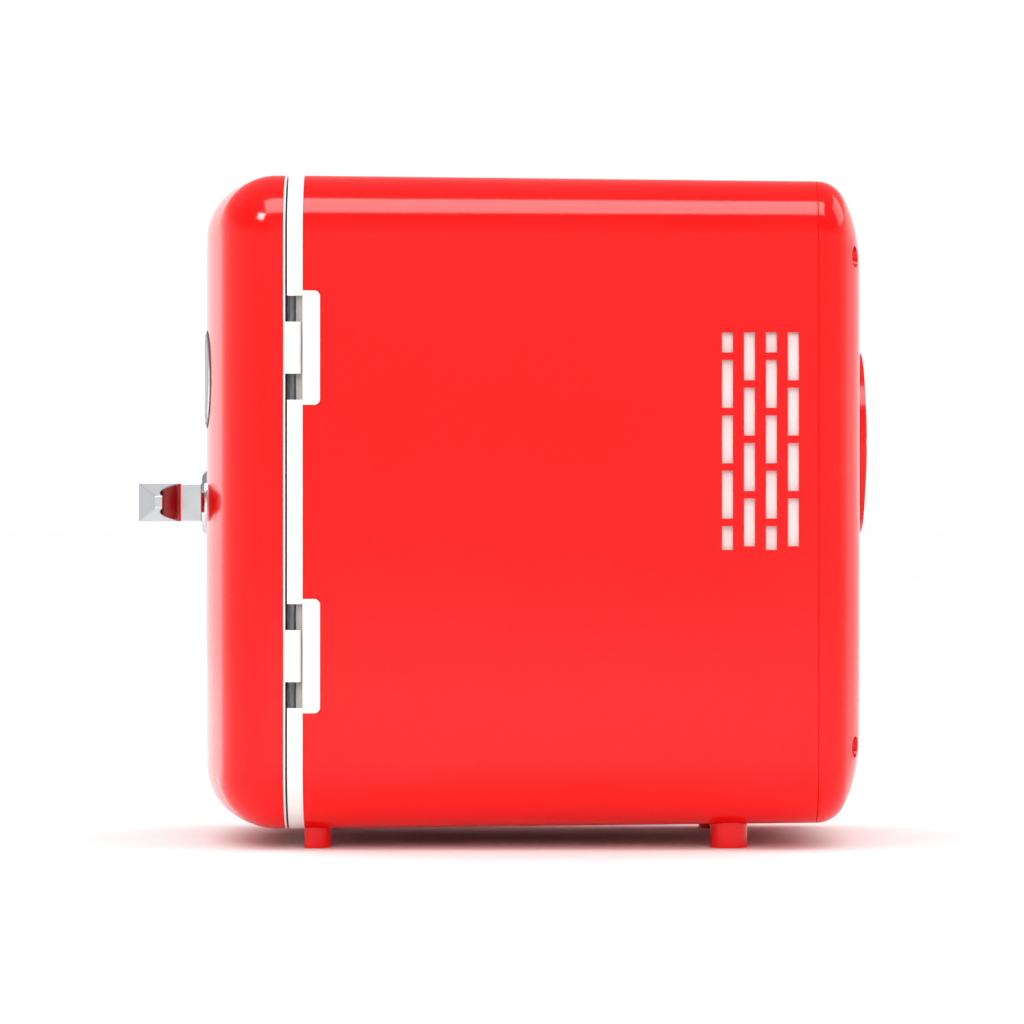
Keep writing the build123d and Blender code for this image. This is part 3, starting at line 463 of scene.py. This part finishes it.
# Door seal: a soft extruded strip with two lips, run round the door panel's groove.
# The profile is (across, height above the panel) in millimetres
seal = {
    "profile": [
        (-4.0, 0.0),
        (-4.0, 1.3),
        (-3.5, 1.85),
        (-2.6, 2.05),
        (-1.7, 1.8),
        (-1.3, 1.45),
        (1.3, 1.45),
        (1.7, 1.8),
        (2.6, 2.05),
        (3.5, 1.85),
        (4.0, 1.3),
        (4.0, 0.0),
    ],
    "cornerRadius": 16.0 * mm,
    "cornerSteps": 8,
}


def makeSeal():
    low, high, middle = nodeBox("door_seal")
    inset = max(x for x, _ in seal["profile"]) * mm + seal["cornerRadius"]
    reachX = (high.x - low.x) / 2 - inset
    reachZ = (high.z - low.z) / 2 - inset
    bm = bmesh.new()
    loops = []
    for quarter, (signX, signZ) in enumerate(((1, 1), (-1, 1), (-1, -1), (1, -1))):
        centre = Vector((middle.x + signX * reachX, low.y, middle.z + signZ * reachZ))
        for step in range(seal["cornerSteps"] + 1):
            turn = math.radians(90 * (quarter + step / seal["cornerSteps"]))
            out = Vector((math.cos(turn), 0, math.sin(turn)))
            verts = []
            for x, y in seal["profile"]:
                place = centre + out * (seal["cornerRadius"] + x * mm)
                verts.append(bm.verts.new(place + Vector((0, y * mm, 0))))
            loops.append([bm.edges.new(pair) for pair in zip(verts, verts[1:] + verts[:1])])
    for near, far in zip(loops, loops[1:] + loops[:1]):
        bmesh.ops.bridge_loops(bm, edges=near + far)
    newPiece("door_seal_strip", bm, sealRubber, "door", "seal_rubber", "door_seal")


makeSeal()
print("door seal made")


# Rocker marks: a bar for one setting and a ring for the other, raised on the rocker's two faces
marks = {
    "rise": 0.12 * mm,
    "bar": (0.7 * mm, 3.2 * mm),  # width and height
    "barEdge": 0.06 * mm,
    "ring": (1.1, 1.7),  # inner and outer radius in millimetres
    "ringSteps": 32,
    "up": 3.6 * mm,  # from the rocker's middle
    "slope": 10.0,  # of each face, in degrees
    "faceShare": 0.96,  # how much of the rocker's half height is sloping face
}


def makeBar():
    bm = bmesh.new()
    bmesh.ops.create_cube(bm, size=1)
    bmesh.ops.scale(bm, verts=bm.verts, vec=(*marks["bar"], 2 * marks["rise"]))
    bmesh.ops.bevel(
        bm,
        geom=bm.edges[:],
        affect="EDGES",
        offset=marks["barEdge"],
        segments=2,
        profile=0.5,
        material=-1,
    )
    return bm


def makeRing():
    inner, outer = marks["ring"]
    rise = marks["rise"] / mm
    profile = [(inner, -rise), (inner, rise), (outer, rise), (outer, -rise)]
    return spinProfile(profile, marks["ringSteps"])


def makeRockerMarks():
    _, high, middle = nodeBox("switch_rocker")
    slope = math.radians(marks["slope"])
    valley = high.y - (high.z - middle.z) * math.tan(slope) * marks["faceShare"]
    out = valley + marks["up"] * math.tan(slope)
    for side, name, bm in (
        (1, "rocker_mark_bar", makeBar()),
        (-1, "rocker_mark_ring", makeRing()),
    ):
        # lay the mark on its face, which leans back from the valley between the two
        tilt = Matrix.Rotation(math.radians(-90) - side * slope, 3, "X")
        bmesh.ops.rotate(bm, verts=bm.verts, cent=(0, 0, 0), matrix=tilt)
        bmesh.ops.translate(bm, verts=bm.verts, vec=(middle.x, out, middle.z + side * marks["up"]))
        newPiece(name, bm, whiteShell, "rocker", "white_plastic")


makeRockerMarks()
print("rocker marks made")


# Studio: a pale floor, and a soft world that is white near the horizon, greyer overhead, and
# brighter behind the object than behind the camera
studio = {
    "floorSize": 80.0,
    "fibres": 33 * mm,
    "behindObject": 1.1,
    "behindCamera": 0.85,
    "turnsOver": (-0.2, 0.9),  # where along X the one becomes the other
    "overhead": 0.4,  # against the horizon
    "dimsOver": (7, 24),  # between these heights, in degrees
}


def makeFloor():
    bm = bmesh.new()
    bmesh.ops.create_grid(bm, x_segments=1, y_segments=1, size=studio["floorSize"] / 2)
    mesh = bpy.data.meshes.new("floor")
    bm.to_mesh(mesh)
    bm.free()
    floor = bpy.data.objects.new("floor", mesh)
    bpy.context.scene.collection.objects.link(floor)
    # matt white board: nearly even, with a trace of fibre
    material, tree, shader, coords = startMaterial("matt_white_board", Roughness=0.9)
    fibres = addNode(
        tree,
        "TexNoise",
        {"Vector": (coords, "Object"), "Scale": 1 / studio["fibres"], "Detail": 3.0},
    )
    tone = addNode(
        tree, "ValToRGB", {"Fac": (fibres, "Fac")}, stops=[(0.3, "#EFEFEF"), (0.7, "#F3F3F3")]
    )
    wire(tree, tone, "Color", shader, "Base Color")
    mesh.materials.append(material)


def makeWorld():
    world = bpy.data.worlds.new("world")
    bpy.context.scene.world = world
    world.use_nodes = True
    tree = world.node_tree
    tree.nodes.clear()
    coords = addNode(tree, "TexCoord")
    split = addNode(tree, "SeparateXYZ", {"Vector": (coords, "Generated")})
    nearX, farX = studio["turnsOver"]
    across = addNode(
        tree,
        "MapRange",
        {
            "Value": (split, "X"),
            "From Min": nearX,
            "From Max": farX,
            "To Min": studio["behindObject"],
            "To Max": studio["behindCamera"],
        },
    )
    lowest, highest = (math.sin(math.radians(angle)) for angle in studio["dimsOver"])
    upwards = addNode(
        tree,
        "MapRange",
        {
            "Value": (split, "Z"),
            "From Min": lowest,
            "From Max": highest,
            "To Min": 1.0,
            "To Max": studio["overhead"],
        },
        interpolation_type="SMOOTHSTEP",
    )
    level = addNode(
        tree, "Math", {0: (across, "Result"), 1: (upwards, "Result")}, operation="MULTIPLY"
    )
    back = addNode(tree, "Background", {"Color": (1, 1, 1, 1), "Strength": (level, "Value")})
    addNode(tree, "OutputWorld", {"Surface": (back, "Background")})


# Softboxes: gloss says whether a box shows in reflections, matt whether it lights matt surfaces.
# The two highlight boxes would burn out the floor, and the fills would leave shapes on the gloss
softboxes = {
    "side_softbox": {
        "from": (0.75, 0.05, 1.55),
        "size": (1.4, 0.76),
        "power": 28.0,
        "gloss": True,
        "matt": False,
    },
    "spot_softbox": {
        "from": (1.05, -0.84, 1.22),
        "size": (0.36, 0.30),
        "power": 11.0,
        "gloss": True,
        "matt": False,
    },
    "front_softbox": {
        "from": (-1.0, -1.8, 1.5),
        "size": (1.2, 0.9),
        "power": 12.0,
        "gloss": False,
        "matt": True,
    },
    "back_softbox": {
        "from": (-0.6, 1.9, 1.4),
        "size": (1.4, 1.0),
        "power": 12.0,
        "gloss": True,
        "matt": True,
    },
    "camera_fill": {
        "from": (2.6, 0.0, 1.2),
        "size": (1.6, 1.6),
        "power": 33.0,
        "gloss": False,
        "matt": True,
    },
}
ceiling = {"from": (0.0, 0.0, 5.0), "power": 2.2, "spread": 80, "gloss": False, "matt": True}


def hangLight(name, light, box):  # aimed at the middle of the object
    light.energy = box["power"]
    obj = bpy.data.objects.new(name, light)
    bpy.context.scene.collection.objects.link(obj)
    target = (cadBox[0] + cadBox[1]) / 2
    obj.location = box["from"]
    obj.rotation_euler = (target - Vector(box["from"])).to_track_quat("-Z", "Y").to_euler()
    obj.visible_glossy = box["gloss"]
    obj.visible_diffuse = box["matt"]


def makeLights():
    for name, box in softboxes.items():
        light = bpy.data.lights.new(name, "AREA")
        light.shape = "RECTANGLE"
        light.size, light.size_y = box["size"]
        hangLight(name, light, box)
    light = bpy.data.lights.new("ceiling_bounce", "SUN")
    light.angle = math.radians(ceiling["spread"])
    hangLight("ceiling_bounce", light, ceiling)


makeFloor()
makeWorld()
makeLights()
bpy.context.scene.view_settings.view_transform = "Standard"
print("studio ready")
